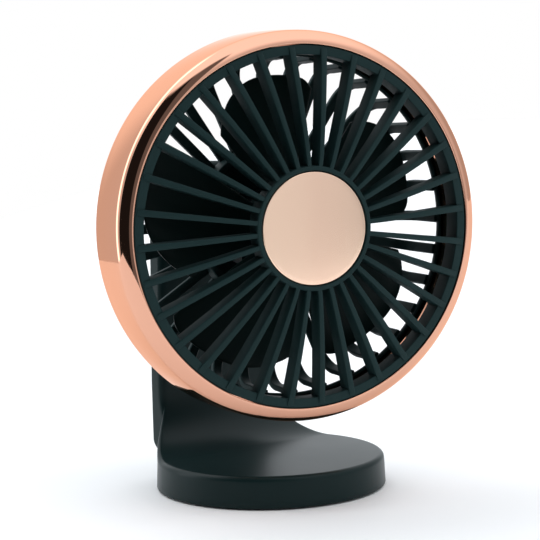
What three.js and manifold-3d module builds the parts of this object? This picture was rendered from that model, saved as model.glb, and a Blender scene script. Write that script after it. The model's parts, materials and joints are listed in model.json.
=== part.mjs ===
// A small rechargeable desk fan: a round plated head on a two-axis knuckle, held by an upright stand.
// Millimetres, +Z up. The origin is the centre of the foot pad's underside, and -Y is the front of the stand.
import * as THREE from 'three';
import { mergeVertices } from 'three/addons/utils/BufferGeometryUtils.js';
import Module from 'manifold-3d';

const wasm = await Module();
wasm.setup();

// ---- driving dimensions ----------------------------------------------------------------------------

const GAP = 0.3;               // between pieces that touch
const HEAD_HEIGHT = 104.6;     // pivot and fan axis above the table
const PIVOT_Y = 18;            // pivot behind the stand's centre
const HEAD_REACH = 66.4;       // pivot to the plane of the front grille's rim
const HEAD_TURN = -14;         // degrees, how far the head is turned on the stand at rest

const BASE_RADIUS = 45.3;
const BASE_SHOULDER_RADIUS = 44.9;
const BASE_TOP_RADIUS = 43;
const BASE_BOTTOM = 0.6;
const BASE_SHOULDER = 10.5;
const BASE_TOP = 12.6;
const BASE_CAVITY_RADIUS = 42.3;
const BASE_CAVITY_TOP = 10.2;

const NECK_FRONT = 36.4;
const NECK_BACK = 44.1;
const NECK_HALF_WIDTH = 27;
const NECK_TOP_HALF_WIDTH = 25.2;
const NECK_SHOULDER = 112;     // height where the rounded top starts
const NECK_TOP = 128;
const NECK_WALL_BACK = 38.3;   // inner face of the neck's front wall
const COVER_FRONT = 41.9;      // inner face of the neck's back cover
const FILLET_RADIUS = 23;
const BLEND_LOW = 4;           // heights between which the neck's back goes from round to flat
const BLEND_HIGH = 16;

const GRILLE_RADIUS = 66;
const GRILLE_HOLE_RADIUS = 62.5;
const HUB_RADIUS = 22.6;
const BADGE_RADIUS = 20.6;
const DOME = 7;                // how far the hub stands in front of the rim
const RIB_COUNT = 32;
const SPOKE_DEPTH = 7;
const FIRST_SPOKE = 7.4;       // degrees, first front spoke clockwise from the top
const FIRST_RIB = 11.1;        // degrees, first rear rib clockwise from the top

const BLADE_COUNT = 5;
const BLADE_TIP_RADIUS = 56;
const BLADE_SWEEP = 57;        // degrees covered by one blade
const FIRST_BLADE = 17.3;      // degrees, first trailing edge clockwise from the top
const BLADE_MIDDLE = 17.8;     // depth of the blades' roots behind the grille's rim
const ROOT_PITCH = -24;        // degrees, at the hub: the edge that comes first clockwise is in front
const TIP_PITCH = -17;
const TIP_RAKE = 1.9;          // how much deeper the tips lie than the roots
const SHAFT_RADIUS = 1.5;

const LUG_HALF_WIDTH = 6.3;
const LUG_INNER = 10.5;
const LUG_OUTER = 14.5;
const CHEEK_INNER = 7.1;
const CHEEK_OUTER = 11.1;
const CHEEK_HALF_HEIGHT = 5.5;
const PIN_RADIUS = 2;
const BUTTON_HEIGHT = 55;
const LIGHT_HEIGHT = 66;

const THREAD_HOLE = 1.1;       // radius of the hole that a grille screw bites into
const SCREW_HOLE = 1.3;        // radius of a hole round a screw
const BOSS_HOLE = 1.4;         // radius of the holes round the base's screws
const SCREW_SEAT = 2.3;        // radius of the seat for a screw's head
const BASE_SCREW_SEAT = 2.5;
const GRILLE_SCREW_REACH = 67.6; // from the fan's axis to the screws of the rear grille
const TAIL_SCREW_REACH = 18;
const MOTOR_SCREW_REACH = 7;

const LARGE_ROUND = 40;        // sides of a large round piece
const MEDIUM_ROUND = 28;       // sides of the motor, the hub and the tail's flange
const SMALL_ROUND = 16;        // sides of a pin, hole or washer
const SCREW_ROUND = 6;         // sides of a screw or a screw hole

// ---- materials --------------------------------------------------------------------------------------

function material(color, roughness, metalness) {
  return new THREE.MeshStandardMaterial({ color, roughness, metalness });
}

const green = material(0x1c3330, 0.42, 0);
const darkGreen = material(0x101f1d, 0.3, 0);
const roseGold = material(0xe0a283, 0.12, 1);
const satinRose = material(0xd9ab94, 0.3, 1);
const rubber = material(0x18191a, 0.85, 0);
const steel = material(0xb4b6b8, 0.3, 1);
const brass = material(0xb98d45, 0.35, 1);
const copperWire = material(0xa85a2a, 0.45, 1);
const wrap = material(0x9aa4ad, 0.5, 0.3);
const board = material(0x14532d, 0.55, 0);
const lens = material(0xf2f2ea, 0.25, 0);

// ---- geometry helpers -------------------------------------------------------------------------------

const radians = THREE.MathUtils.degToRad;

function signedVolume(position, index) {
  const [a, b, c] = [new THREE.Vector3(), new THREE.Vector3(), new THREE.Vector3()];
  let volume = 0;
  for (let i = 0; i < index.length; i += 3) {
    a.fromBufferAttribute(position, index[i]);
    b.fromBufferAttribute(position, index[i + 1]);
    c.fromBufferAttribute(position, index[i + 2]);
    volume += a.dot(b.cross(c)) / 6;
  }
  return volume;
}

// Turns a closed geometry into a solid that can be joined and cut.
function solid(geometry) {
  const plain = geometry.clone();
  plain.deleteAttribute('normal');
  plain.deleteAttribute('uv');
  const merged = mergeVertices(plain, 1e-4);
  const source = Array.from(merged.index.array);
  let index = [];
  for (let i = 0; i < source.length; i += 3) {
    const [a, b, c] = source.slice(i, i + 3);
    if (a !== b && b !== c && a !== c) index.push(a, b, c);
  }
  if (signedVolume(merged.attributes.position, index) < 0) index = index.reverse();
  return new wasm.Manifold(new wasm.Mesh({
    numProp: 3,
    vertProperties: new Float32Array(merged.attributes.position.array),
    triVerts: new Uint32Array(index),
  }));
}

function geometryOf(manifold) {
  const mesh = manifold.getMesh();
  const geometry = new THREE.BufferGeometry();
  geometry.setAttribute('position', new THREE.BufferAttribute(new Float32Array(mesh.vertProperties), 3));
  geometry.setIndex(new THREE.BufferAttribute(new Uint32Array(mesh.triVerts), 1));
  return geometry;
}

// A closed profile of [radius, height] points turned about the Y axis.
function turnY(profile, segments) {
  const points = profile.map(([r, y]) => new THREE.Vector2(r, y));
  const last = points[points.length - 1];
  if (points[0].x > 0 || last.x > 0) points.push(points[0].clone());
  return solid(new THREE.LatheGeometry(points, segments));
}

function turnZ(profile, segments) {
  return turnY(profile, segments).rotate([90, 0, 0]);
}

function turnX(profile, segments) {
  return turnY(profile, segments).rotate([0, 0, -90]);
}

function box([x0, x1], [y0, y1], [z0, z1]) {
  const geometry = new THREE.BoxGeometry(x1 - x0, y1 - y0, z1 - z0);
  geometry.translate((x0 + x1) / 2, (y0 + y1) / 2, (z0 + z1) / 2);
  return solid(geometry);
}

// A round bar along one axis, from one coordinate to the other.
function bar(axis, radius, from, to, segments = SMALL_ROUND) {
  const turn = { x: turnX, y: turnY, z: turnZ }[axis];
  return turn([[0, from], [radius, from], [radius, to], [0, to]], segments);
}

function washer(axis, inner, outer, from, to, segments = SMALL_ROUND) {
  const turn = { x: turnX, y: turnY, z: turnZ }[axis];
  return turn([[inner, from], [outer, from], [outer, to], [inner, to]], segments);
}

// A screw along one axis: its head from `head` to `neck`, its thread from there to `tip`.
function screw(axis, head, neck, tip, headRadius, threadRadius) {
  const turn = { x: turnX, y: turnY, z: turnZ }[axis];
  return turn([[0, head], [headRadius, head], [headRadius, neck], [threadRadius, neck],
    [threadRadius, tip], [0, tip]], SCREW_ROUND);
}

// A body through sections that have the same number of points.
function loft(sections) {
  const count = sections[0].length;
  const position = sections.flat().flatMap((p) => [p.x, p.y, p.z]);
  const index = [];
  for (let s = 0; s + 1 < sections.length; s++) {
    for (let i = 0; i < count; i++) {
      const a = s * count + i;
      const b = s * count + ((i + 1) % count);
      index.push(a, b, b + count, a, b + count, a + count);
    }
  }
  const end = (sections.length - 1) * count;
  for (let i = 1; i + 1 < count; i++) {
    index.push(0, i + 1, i, end, end + i, end + i + 1);
  }
  const geometry = new THREE.BufferGeometry();
  geometry.setAttribute('position', new THREE.Float32BufferAttribute(position, 3));
  geometry.setIndex(index);
  return solid(geometry);
}

// A thin curved plate: point(u, v) is its middle surface, and it is `thickness` deep along Y.
function plate(rows, columns, thickness, point) {
  const position = [];
  const grid = (rows + 1) * (columns + 1);
  for (const side of [-0.5, 0.5]) {
    for (let i = 0; i <= rows; i++) {
      for (let j = 0; j <= columns; j++) {
        const p = point(i / rows, j / columns);
        position.push(p.x, p.y + side * thickness, p.z);
      }
    }
  }
  const index = [];
  const quad = (a, b, c, d) => index.push(a, b, c, a, c, d);
  const at = (i, j) => i * (columns + 1) + j;
  for (let i = 0; i < rows; i++) {
    for (let j = 0; j < columns; j++) {
      quad(at(i, j), at(i, j + 1), at(i + 1, j + 1), at(i + 1, j));
      quad(grid + at(i, j), grid + at(i + 1, j), grid + at(i + 1, j + 1), grid + at(i, j + 1));
    }
  }
  const edge = [];
  for (let j = 0; j < columns; j++) edge.push(at(0, j));
  for (let i = 0; i < rows; i++) edge.push(at(i, columns));
  for (let j = columns; j > 0; j--) edge.push(at(rows, j));
  for (let i = rows; i > 0; i--) edge.push(at(i, 0));
  edge.forEach((a, k) => {
    const b = edge[(k + 1) % edge.length];
    quad(b, a, grid + a, grid + b);
  });
  const geometry = new THREE.BufferGeometry();
  geometry.setAttribute('position', new THREE.Float32BufferAttribute(position, 3));
  geometry.setIndex(index);
  return solid(geometry);
}

function join(solids) {
  return solids.reduce((whole, piece) => whole.add(piece));
}

function cut(whole, tools) {
  return tools.reduce((rest, tool) => rest.subtract(tool), whole);
}

function addNode(group, name, shape, look) {
  const mesh = new THREE.Mesh(geometryOf(shape), look);
  mesh.name = name;
  group.add(mesh);
}

// Copies of one solid, each moved to its own place, for joining or cutting.
function copies(piece, places) {
  return join(places.map((place) => piece.translate(place)));
}

// The same piece at several places, each as its own numbered node.
function addCopies(group, name, piece, places, look) {
  places.forEach((place, i) => addNode(group, `${name}_${i + 1}`, piece.translate(place), look));
}

function cornersXY(x, y) {
  return [[x, y, 0], [-x, y, 0], [-x, -y, 0], [x, -y, 0]];
}

// ---- stand ------------------------------------------------------------------------------------------

const BOSS_PLACES = cornersXY(24, 24);
const BRACKET_PLACES = [[8.6, 3], [-8.6, 3], [-8.6, -16], [8.6, -16]]
  .map(([x, z]) => [x, 0, HEAD_HEIGHT + z]);
const COVER_LOW = 38.4;
const COVER_HIGH = 111.6;
const COVER_POCKET_HALF_WIDTH = 22.2;
const COVER_SCREW_HEIGHTS = [44, 106];

function neckHalfWidth(z) {
  const rise = THREE.MathUtils.clamp((z - 40) / (NECK_SHOULDER - 40), 0, 1);
  const width = THREE.MathUtils.lerp(NECK_HALF_WIDTH, NECK_TOP_HALF_WIDTH, rise);
  const crown = THREE.MathUtils.clamp((z - NECK_SHOULDER) / (NECK_TOP + 0.2 - NECK_SHOULDER), 0, 1);
  return width * Math.pow(1 - Math.pow(crown, 2.4), 1 / 2.4);
}

function neckSection(z) {
  const width = neckHalfWidth(z);
  const flat = THREE.MathUtils.smoothstep(z, BLEND_LOW, BLEND_HIGH);
  const corner = Math.min(2, width / 2);
  const bevel = corner * 0.3;
  const limit = BASE_SHOULDER_RADIUS - 0.2;
  const front = [[-width, NECK_FRONT + corner], [-width + bevel, NECK_FRONT + bevel],
    [-width + corner, NECK_FRONT], [width - corner, NECK_FRONT],
    [width - bevel, NECK_FRONT + bevel], [width, NECK_FRONT + corner]];
  const back = [1, 0.96, 0.8, 0.5, 0, -0.5, -0.8, -0.96, -1].map((t) =>
    [t * width, Math.abs(t) === 1 ? NECK_BACK - corner : NECK_BACK]);
  const scaled = ([x, y], most) => {
    const scale = Math.min(most, THREE.MathUtils.lerp(limit / Math.hypot(x, y), 1, flat));
    return new THREE.Vector3(x * scale, y * scale, z);
  };
  return [...front.map((p) => scaled(p, 1)), ...back.map((p) => scaled(p, 2))];
}

function filletSolid() {
  const low = BASE_TOP - 2;
  const outline = new THREE.Shape();
  outline.moveTo(NECK_FRONT - FILLET_RADIUS, low);
  outline.lineTo(NECK_FRONT - FILLET_RADIUS, BASE_TOP);
  outline.absarc(NECK_FRONT - FILLET_RADIUS, BASE_TOP + FILLET_RADIUS, FILLET_RADIUS, -Math.PI / 2, 0);
  outline.lineTo(NECK_FRONT + 3, BASE_TOP + FILLET_RADIUS);
  outline.lineTo(NECK_FRONT + 3, low);
  const geometry = new THREE.ExtrudeGeometry(outline, {
    depth: 2 * BASE_RADIUS, bevelEnabled: false, curveSegments: 8,
  });
  geometry.translate(0, 0, -BASE_RADIUS);
  const wedge = solid(geometry).rotate([90, 0, 90]);
  return wedge.intersect(bar('z', BASE_TOP_RADIUS - 0.05, low - 1, 60, LARGE_ROUND));
}

function standShell() {
  const base = turnZ([[0, BASE_BOTTOM], [BASE_RADIUS, BASE_BOTTOM],
    [BASE_SHOULDER_RADIUS, BASE_SHOULDER], [BASE_TOP_RADIUS, BASE_TOP], [0, BASE_TOP]], LARGE_ROUND);
  const heights = [5, 6.5, 8, 9.5, 11, 12.5, 14, 16, 38, 60, 86, NECK_SHOULDER, 118, 123, 126.4, NECK_TOP];
  const neck = loft(heights.map(neckSection));
  const whole = join([base, filletSolid(), neck]);
  const hollow = cut(whole, [
    bar('z', BASE_CAVITY_RADIUS, -1, BASE_CAVITY_TOP, LARGE_ROUND),
    box([-21, 21], [NECK_WALL_BACK, COVER_FRONT], [COVER_LOW + 1.6, COVER_HIGH - 1.6]),
    box([-COVER_POCKET_HALF_WIDTH, COVER_POCKET_HALF_WIDTH], [COVER_FRONT - GAP, NECK_BACK + 2],
      [COVER_LOW - GAP, COVER_HIGH + GAP]),
    box([-8, 8], [NECK_WALL_BACK, 41], [8, COVER_LOW + 4]),
    box([-4.8, 4.8], [39, 48], [3.9, 7.7]),
    copies(bar('y', SCREW_HOLE, NECK_FRONT - 1, NECK_WALL_BACK + 1, SCREW_ROUND), BRACKET_PLACES),
  ]);
  const boss = washer('z', BOSS_HOLE, 3, 3.8, BASE_CAVITY_TOP + 0.4);
  const post = washer('y', SCREW_HOLE, 2.6, NECK_WALL_BACK - 0.2, COVER_FRONT - GAP);
  const posts = copies(post, COVER_SCREW_HEIGHTS.map((z) => [0, 0, z]));
  return join([hollow, copies(boss, BOSS_PLACES), posts]);
}

function neckBackCover() {
  const corner = 3;
  const outline = new THREE.Shape();
  const width = COVER_POCKET_HALF_WIDTH - GAP;
  outline.moveTo(-width, COVER_LOW);
  outline.lineTo(width, COVER_LOW);
  outline.lineTo(width, COVER_HIGH - corner);
  outline.lineTo(width - corner, COVER_HIGH);
  outline.lineTo(-width + corner, COVER_HIGH);
  outline.lineTo(-width, COVER_HIGH - corner);
  const geometry = new THREE.ExtrudeGeometry(outline, {
    depth: NECK_BACK - COVER_FRONT, bevelEnabled: false,
  });
  const panel = solid(geometry).rotate([90, 0, 0]).translate([0, NECK_BACK, 0]);
  const screwHole = bar('y', SCREW_HOLE, COVER_FRONT - 1, NECK_BACK + 1, SCREW_ROUND);
  const screwSeat = bar('y', SCREW_SEAT, NECK_BACK - 1.1, NECK_BACK + 1);
  return cut(panel, [
    bar('y', 4.9, COVER_FRONT - 1, NECK_BACK + 1, SMALL_ROUND).translate([0, 0, BUTTON_HEIGHT]),
    bar('y', 1.6, COVER_FRONT - 1, NECK_BACK + 1, SCREW_ROUND).translate([0, 0, LIGHT_HEIGHT]),
    ...COVER_SCREW_HEIGHTS.flatMap((z) => [screwHole.translate([0, 0, z]), screwSeat.translate([0, 0, z])]),
  ]);
}

function basePlate() {
  const disc = bar('z', BASE_CAVITY_RADIUS - GAP, 1.3, 3.5, LARGE_ROUND);
  return cut(disc, [
    copies(bar('z', BOSS_HOLE, 0, 5, SCREW_ROUND), BOSS_PLACES),
    copies(bar('z', BASE_SCREW_SEAT, 0, 2.7), BOSS_PLACES),
  ]);
}

function usbSocket() {
  const shell = box([-4.5, 4.5], [35, 44.6], [4.2, 7.4]);
  const mouth = box([-4.1, 4.1], [38.5, 46], [4.55, 7.05]);
  const tongue = box([-3.3, 3.3], [38, 43.4], [5.5, 6.1]);
  return shell.subtract(mouth).add(tongue);
}

// Two lugs, one above and one below the pivot, on a plate that is screwed to the neck's front wall.
function neckBracket() {
  const plateBack = NECK_FRONT - GAP;
  const plateFront = plateBack - 3;
  const lug = (z0, z1) => box([-LUG_HALF_WIDTH, LUG_HALF_WIDTH], [PIVOT_Y, plateFront + 1], [z0, z1])
    .add(bar('z', LUG_HALF_WIDTH, z0, z1, SMALL_ROUND).translate([0, PIVOT_Y, 0]));
  const whole = join([
    box([-11.2, 11.2], [plateFront, plateBack], [HEAD_HEIGHT - 19, HEAD_HEIGHT + 19]),
    lug(HEAD_HEIGHT + LUG_INNER, HEAD_HEIGHT + LUG_OUTER),
    lug(HEAD_HEIGHT - LUG_OUTER, HEAD_HEIGHT - LUG_INNER),
  ]);
  return cut(whole, [
    bar('z', PIN_RADIUS + GAP, HEAD_HEIGHT - 20, HEAD_HEIGHT + 20, SMALL_ROUND).translate([0, PIVOT_Y, 0]),
    copies(bar('y', SCREW_HOLE, plateFront - 1, plateBack + 1, SCREW_ROUND), BRACKET_PLACES),
  ]);
}

function swivelPin() {
  return turnZ([[0, 3.5], [PIN_RADIUS, 3.5], [PIN_RADIUS, LUG_OUTER + GAP], [3.6, LUG_OUTER + GAP],
    [3.6, LUG_OUTER + 1.4], [3, LUG_OUTER + 2], [0, LUG_OUTER + 2]], SMALL_ROUND);
}

const stand = new THREE.Group();
addNode(stand, 'stand_shell', standShell(), green);
addNode(stand, 'neck_back_cover', neckBackCover(), green);
addNode(stand, 'base_plate', basePlate(), green);
addNode(stand, 'foot_pad', bar('z', 40, 0, 1, LARGE_ROUND), rubber);
addNode(stand, 'ballast_plate', bar('z', 29, 3.9, 6.2, MEDIUM_ROUND), steel);
addNode(stand, 'battery_pack', box([-19, 19], [-24, 14], [6.5, 9.9]), wrap);
addNode(stand, 'control_board', box([-10, 10], [17, 40], [7.7, 8.9]), board);
addNode(stand, 'usb_socket', usbSocket(), steel);
addNode(stand, 'switch_board', box([-12, 12], [NECK_WALL_BACK + GAP, 39.4], [48, 72]), board);
addNode(stand, 'tact_switch',
  box([-3, 3], [39.5, 40.1], [BUTTON_HEIGHT - 3, BUTTON_HEIGHT + 3])
    .add(bar('y', 1.7, 40, 40.4).translate([0, 0, BUTTON_HEIGHT])), steel);
addNode(stand, 'status_light', bar('y', 1.3, 39.7, 43.9).translate([0, 0, LIGHT_HEIGHT]), lens);
addCopies(stand, 'base_screw', screw('z', 1.5, 2.6, 8.5, 2.2, 1.1), BOSS_PLACES, steel);
addCopies(stand, 'cover_screw', screw('y', NECK_BACK - 0.1, NECK_BACK - 1, NECK_WALL_BACK + 0.2, 2, 1),
  COVER_SCREW_HEIGHTS.map((z) => [0, 0, z]), steel);
addNode(stand, 'neck_bracket', neckBracket(), green);
addCopies(stand, 'bracket_screw', screw('y', 39.7, 38.6, 33.6, 1.9, 1), BRACKET_PLACES, steel);
addNode(stand, 'swivel_pin_upper', swivelPin().translate([0, PIVOT_Y, HEAD_HEIGHT]), steel);
addNode(stand, 'swivel_pin_lower',
  swivelPin().rotate([180, 0, 0]).translate([0, PIVOT_Y, HEAD_HEIGHT]), steel);

// ---- power button -----------------------------------------------------------------------------------

const button = new THREE.Group();
addNode(button, 'power_button',
  turnY([[0, 41.05], [5.5, 41.05], [5.5, COVER_FRONT - GAP], [4.6, COVER_FRONT - GAP], [4.6, 44.2],
    [4, NECK_BACK + 0.7], [0, NECK_BACK + 0.7]], MEDIUM_ROUND).translate([0, 0, BUTTON_HEIGHT]), roseGold);

// ---- knuckle, at its pivot ---------------------------------------------------------------------------

const BLOCK_HALF_WIDTH = 5.6;
const BLOCK_HALF_HEIGHT = 9;

function knuckleBlock() {
  const corner = 1.6;
  const half = BLOCK_HALF_WIDTH;
  const outline = new THREE.Shape();
  for (const turn of [0, 1, 2, 3]) {
    const angle = turn * Math.PI / 2;
    for (const [x, y] of [[half, -half + corner], [half, half - corner]]) {
      const px = x * Math.cos(angle) - y * Math.sin(angle);
      const py = x * Math.sin(angle) + y * Math.cos(angle);
      if (turn === 0 && y < 0) outline.moveTo(px, py);
      else outline.lineTo(px, py);
    }
  }
  const geometry = new THREE.ExtrudeGeometry(outline, {
    depth: 2 * BLOCK_HALF_HEIGHT, bevelEnabled: false,
  });
  geometry.translate(0, 0, -BLOCK_HALF_HEIGHT);
  return cut(solid(geometry), [
    bar('z', PIN_RADIUS + GAP, 3.2, 20),
    bar('z', PIN_RADIUS + GAP, -20, -3.2),
    bar('x', PIN_RADIUS + GAP, -20, 20),
  ]);
}

const knuckle = new THREE.Group();
addNode(knuckle, 'knuckle_block', knuckleBlock(), darkGreen);
for (const [name, side] of [['upper', 1], ['lower', -1]]) {
  addNode(knuckle, `swivel_washer_${name}`,
    washer('z', PIN_RADIUS + 0.4, 5, side * (BLOCK_HALF_HEIGHT + GAP), side * (LUG_INNER - GAP)), rubber);
}

// ---- head: depths are measured backwards from the plane of the grille's rim ---------------------------

const depth = (d) => d - HEAD_REACH;
const profileAt = (points) => points.map(([r, d]) => [r, depth(d)]);

// How far the grille's face stands in front of its rim at a radius.
function domeHeight(radius) {
  const across = THREE.MathUtils.clamp((radius - BADGE_RADIUS) / (GRILLE_RADIUS - BADGE_RADIUS), 0, 1);
  return DOME * (1 - Math.pow(across, 1.5));
}

// A point on the fan's disc: clock angle in degrees from the top, clockwise as seen from the front.
function clock(radius, angle, d) {
  const a = radians(angle);
  return new THREE.Vector3(radius * Math.sin(a), depth(d), radius * Math.cos(a));
}

// A bar of rectangular section along stations of [radius, depth], facing one clock angle.
function clockBar(angle, stations) {
  const across = new THREE.Vector3(Math.cos(radians(angle)), 0, -Math.sin(radians(angle)));
  return loft(stations.map(([frontRadius, frontDepth, backRadius, backDepth, width]) => {
    const front = clock(frontRadius, angle, frontDepth);
    const back = clock(backRadius, angle, backDepth);
    const shift = across.clone().multiplyScalar(width / 2);
    return [[front, -1], [front, 1], [back, 1], [back, -1]]
      .map(([corner, side]) => corner.clone().addScaledVector(shift, side));
  }));
}

function frontGrille() {
  const rim = turnY(profileAt([[GRILLE_HOLE_RADIUS, 0.2], [GRILLE_RADIUS, 0], [GRILLE_RADIUS, 8.5],
    [GRILLE_HOLE_RADIUS, 8.5]]), LARGE_ROUND);
  const hub = turnY(profileAt([[0, -5.2], [20.9, -5.2], [20.9, -DOME], [22.2, -DOME], [HUB_RADIUS, -6.6],
    [HUB_RADIUS, 0.3], [21, 0.3], [20.2, -3], [0, -3]]), LARGE_ROUND);
  const radii = [HUB_RADIUS - 0.6, 44, GRILLE_RADIUS - 0.8];
  const spokes = [];
  for (let i = 0; i < RIB_COUNT; i++) {
    const stations = radii.map((r, k) => {
      const face = -domeHeight(r) + (k === 0 ? 0.2 : -0.15);
      return [r, face, r, face + SPOKE_DEPTH, 1.7 + 0.35 * k];
    });
    spokes.push(clockBar(FIRST_SPOKE + i * 360 / RIB_COUNT, stations));
  }
  return join([rim, hub, ...spokes]);
}

const BEZEL_RADIUS = 72.8;
const BEZEL_BACK = 24;
const CHANNEL_FLOOR = 10.5;
const LIP_BACK = 15.8;
const FLANGE_FRONT = 16.3;
const FLANGE_BACK = 18;
const GRILLE_SCREW_ANGLES = [45, 135, 225, 315];

function bezelRing() {
  const ring = turnY(profileAt([[GRILLE_RADIUS + GAP, 0], [68.2, 0.6], [70.8, 3.2], [71.8, 6.4],
    [BEZEL_RADIUS, 22], [71.8, BEZEL_BACK], [70.2, BEZEL_BACK], [71.2, 21.8], [70.4, CHANNEL_FLOOR],
    [65.8, CHANNEL_FLOOR], [65.8, LIP_BACK], [64, LIP_BACK], [64, 8.8], [GRILLE_RADIUS + GAP, 8.8]]),
  LARGE_ROUND);
  const boss = washer('y', THREAD_HOLE, 2.1, depth(CHANNEL_FLOOR - 0.2), depth(LIP_BACK), SCREW_ROUND);
  return join([ring, ...GRILLE_SCREW_ANGLES.map((a) => boss.translate(placeAt(GRILLE_SCREW_REACH, a)))]);
}

function placeAt(radius, angle) {
  return [radius * Math.sin(radians(angle)), 0, radius * Math.cos(radians(angle))];
}

const POD_FLOOR = 37.6;
const POD_BACK = 40;
const RIB_WIDTH = 3.9;
const RIB_ROOT_WIDTH = 3.3;
const MOTOR_SCREW_ANGLES = [90, 270];
const TAIL_SCREW_ANGLES = [45, 135, 225, 315];

function rearGrille() {
  const band = turnY(profileAt([[GRILLE_HOLE_RADIUS + 0.1, 14], [63.7, 14], [63.7, FLANGE_FRONT],
    [69.2, FLANGE_FRONT], [69.2, FLANGE_BACK], [63.6, FLANGE_BACK], [GRILLE_HOLE_RADIUS + 0.1, 15.4]]),
  LARGE_ROUND);
  const pod = turnY(profileAt([[27.6, 31], [30, 31], [30, 38.8], [28.8, POD_BACK], [0, POD_BACK],
    [0, POD_FLOOR], [27.6, POD_FLOOR]]), LARGE_ROUND);
  const ribs = [];
  for (let i = 0; i < RIB_COUNT; i++) {
    ribs.push(clockBar(FIRST_RIB + i * 360 / RIB_COUNT, [
      [61.8, FLANGE_FRONT, 64.1, FLANGE_FRONT, RIB_WIDTH],
      [61.5, 29.4, 63.9, 30, RIB_WIDTH],
      [59.2, 34.6, 61, 36.2, RIB_WIDTH],
      [54, 37.2, 54.4, 39.6, RIB_WIDTH - 0.1],
      [29, 37.4, 29, 39.8, RIB_ROOT_WIDTH],
    ]));
  }
  const seats = MOTOR_SCREW_ANGLES.flatMap((a) => [
    bar('y', SCREW_HOLE, depth(POD_FLOOR - 1), depth(POD_BACK + 1), SCREW_ROUND),
    bar('y', SCREW_SEAT - 0.1, depth(38.7), depth(POD_BACK + 1)),
  ].map((hole) => hole.translate(placeAt(MOTOR_SCREW_REACH, a))));
  const tailHoles = TAIL_SCREW_ANGLES.map((a) =>
    bar('y', SCREW_HOLE, depth(POD_FLOOR - 1), depth(POD_BACK + 1), SCREW_ROUND)
      .translate(placeAt(TAIL_SCREW_REACH, a)));
  const flangeHoles = GRILLE_SCREW_ANGLES.map((a) =>
    bar('y', THREAD_HOLE, depth(FLANGE_FRONT - 1), depth(FLANGE_BACK + 1), SCREW_ROUND)
      .translate(placeAt(GRILLE_SCREW_REACH, a)));
  return cut(join([band, pod, ...ribs]), [...seats, ...tailHoles, ...flangeHoles]);
}

// The arm behind the head: a flange on the pod, and two cheeks that hold the tilt bolt.
function tailFork() {
  const web = -17.5;
  const flange = turnY(profileAt([[0, POD_BACK + GAP], [21, POD_BACK + GAP], [21, 42.2], [20, 43.2],
    [0, 43.2]]), MEDIUM_ROUND);
  const tall = [-CHEEK_HALF_HEIGHT, CHEEK_HALF_HEIGHT];
  const block = box([-CHEEK_OUTER, CHEEK_OUTER], [depth(43), web], tall);
  const cheeks = [[CHEEK_INNER, CHEEK_OUTER], [-CHEEK_OUTER, -CHEEK_INNER]].map(([from, to]) =>
    box([from, to], [web - 1, 0], tall)
      .add(bar('x', CHEEK_HALF_HEIGHT, from, to, SMALL_ROUND)));
  const tailHoles = TAIL_SCREW_ANGLES.map((a) =>
    bar('y', SCREW_HOLE, depth(POD_BACK), depth(44), SCREW_ROUND).translate(placeAt(TAIL_SCREW_REACH, a)));
  return cut(join([flange, block, ...cheeks]), [bar('x', PIN_RADIUS + GAP, -20, 20), ...tailHoles]);
}

function hexNut(from, to) {
  const hexagon = turnX([[0, from], [4, from], [4, to], [0, to]], 6);
  return cut(hexagon, [bar('x', PIN_RADIUS + GAP, from - 1, to - 1)]);
}

const head = new THREE.Group();
addNode(head, 'bezel_ring', bezelRing(), roseGold);
addNode(head, 'front_grille', frontGrille(), green);
addNode(head, 'centre_badge', turnY(profileAt([[0, -DOME], [20, -DOME], [BADGE_RADIUS, -6.6],
  [BADGE_RADIUS, -5.5], [0, -5.5]]), LARGE_ROUND), satinRose);
addNode(head, 'rear_grille', rearGrille(), green);
addCopies(head, 'grille_screw', screw('y', depth(19.3), depth(18.3), depth(11.5), 1.3, 0.8),
  GRILLE_SCREW_ANGLES.map((a) => placeAt(GRILLE_SCREW_REACH, a)), steel);
addNode(head, 'tail_fork', tailFork(), green);
addCopies(head, 'tail_screw', screw('y', depth(36.1), depth(37.3), depth(42.6), 2, 1),
  TAIL_SCREW_ANGLES.map((a) => placeAt(TAIL_SCREW_REACH, a)), steel);
addNode(head, 'tilt_bolt', turnX([[0, -13.2], [2.8, -13.2], [3.6, -12.6], [3.6, -CHEEK_OUTER - GAP],
  [PIN_RADIUS, -CHEEK_OUTER - GAP], [PIN_RADIUS, 12.9], [0, 12.9]], SMALL_ROUND), steel);
addNode(head, 'tilt_nut', hexNut(CHEEK_OUTER + GAP, 14.4), steel);
for (const [name, side] of [['left', -1], ['right', 1]]) {
  addNode(head, `tilt_washer_${name}`,
    washer('x', PIN_RADIUS + 0.4, 5, side * (BLOCK_HALF_WIDTH + GAP), side * (CHEEK_INNER - GAP)), rubber);
}
addNode(head, 'motor_can', turnY(profileAt([[4.4, 23.6], [12, 23.6], [13, 24.6], [13, 35.4], [11.8, 35.4],
  [11.8, 27.2], [4.4, 27.2]]), MEDIUM_ROUND), steel);
addNode(head, 'stator_core', turnY(profileAt([[6.4, 27.8], [11.5, 27.8], [11.5, 33.6], [6.4, 33.6]]),
  MEDIUM_ROUND), copperWire);
addNode(head, 'motor_end_bell', cut(
  turnY(profileAt([[4.4, 35.7], [13, 35.7], [13, 37.3], [4.4, 37.3]]), MEDIUM_ROUND),
  MOTOR_SCREW_ANGLES.map((a) =>
    bar('y', SCREW_HOLE, depth(35), depth(38), SCREW_ROUND)
      .translate(placeAt(MOTOR_SCREW_REACH, a)))), steel);
addNode(head, 'front_bush', washer('y', SHAFT_RADIUS + 0.1, 4.1, depth(23.8), depth(27)), brass);
addNode(head, 'rear_bush', washer('y', SHAFT_RADIUS + 0.1, 4.1, depth(35), depth(37.2)), brass);
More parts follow.
